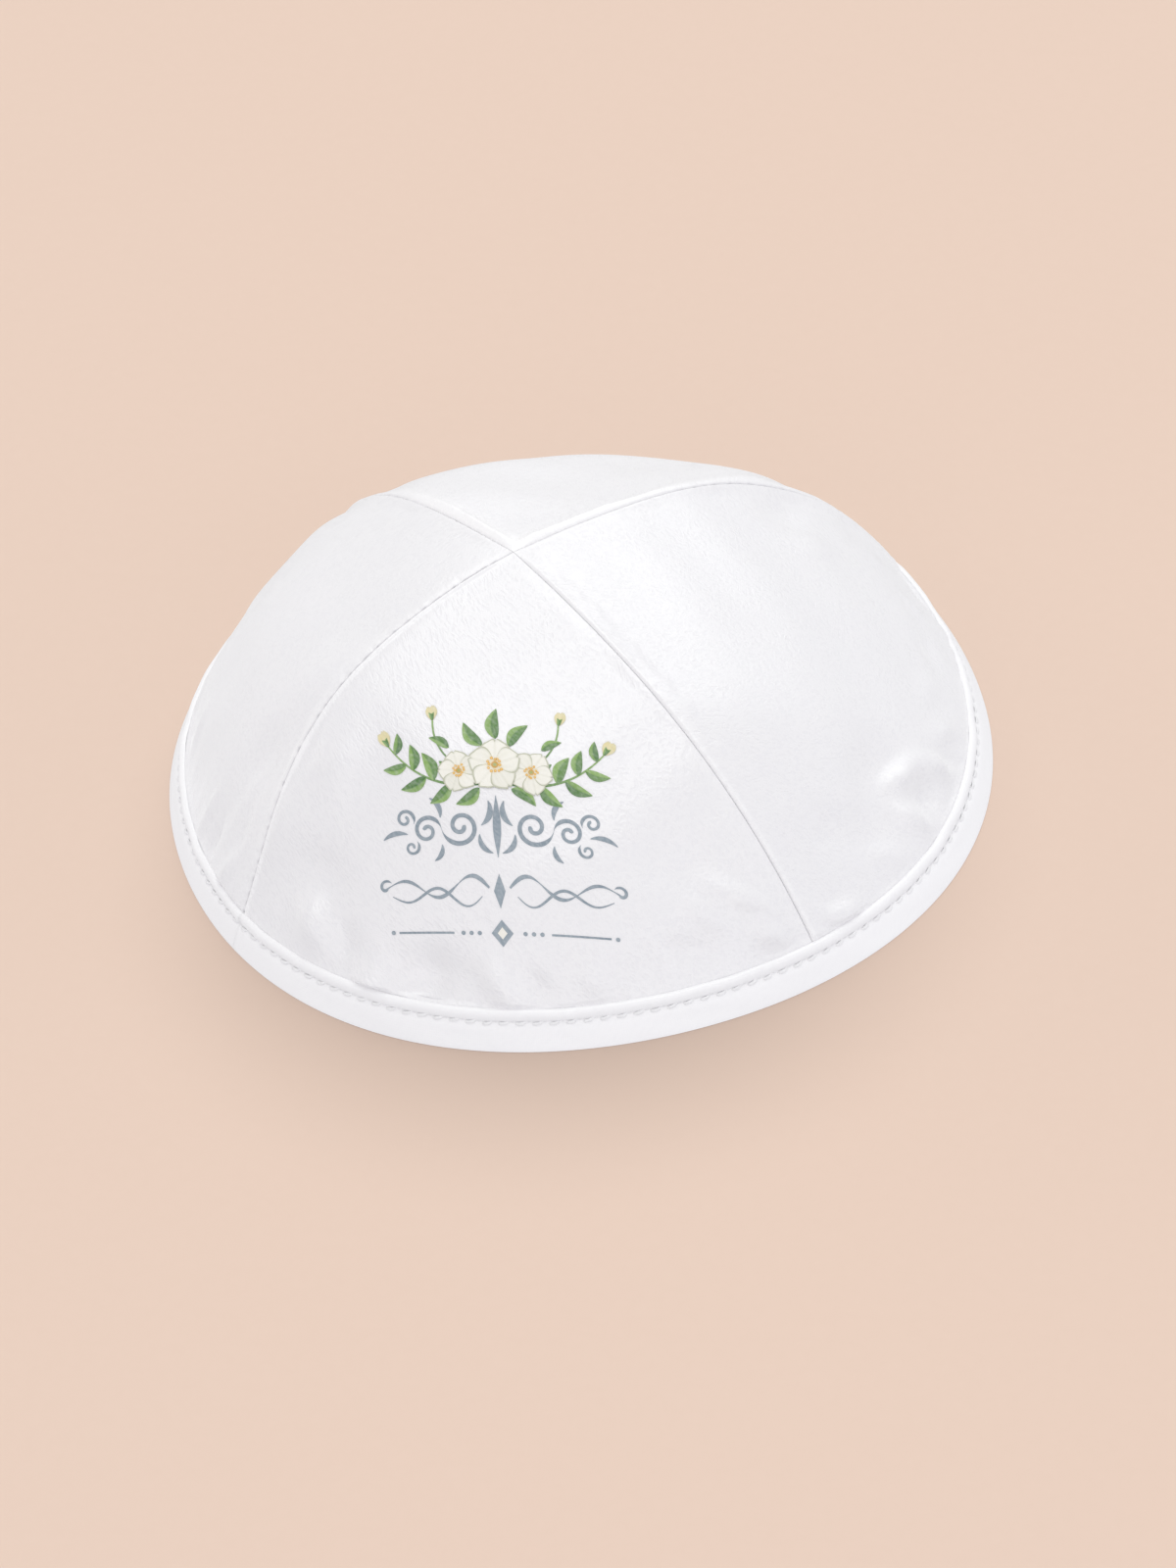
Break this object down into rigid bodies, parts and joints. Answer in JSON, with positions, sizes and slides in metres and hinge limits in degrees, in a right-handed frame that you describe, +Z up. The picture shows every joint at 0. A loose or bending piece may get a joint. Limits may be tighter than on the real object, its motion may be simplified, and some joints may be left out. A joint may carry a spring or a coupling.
{
  "type": "kippah skullcap",
  "caption": "Soft domed skullcap of sewn satin gores that meet at the crown, with a folded bias binding round its open rim.",
  "frame": {"origin": "centre of the rim's base, on the surface that the cap rests on", "axes": "+Z up through the crown, the front gore faces -Y, +X to the viewer's right"},
  "size_m": [0.166, 0.1667, 0.0535],
  "materials": {
    "gore_satin": "white satin with a soft sheen and a fine weave",
    "binding_satin": "smooth white satin, topstitched in white"
  },
  "bodies": {
    "root": {"panel_front": "gore_satin", "panel_right": "gore_satin", "panel_back": "gore_satin", "panel_left": "gore_satin", "rim_binding": "binding_satin"}
  },
  "joints": []
}
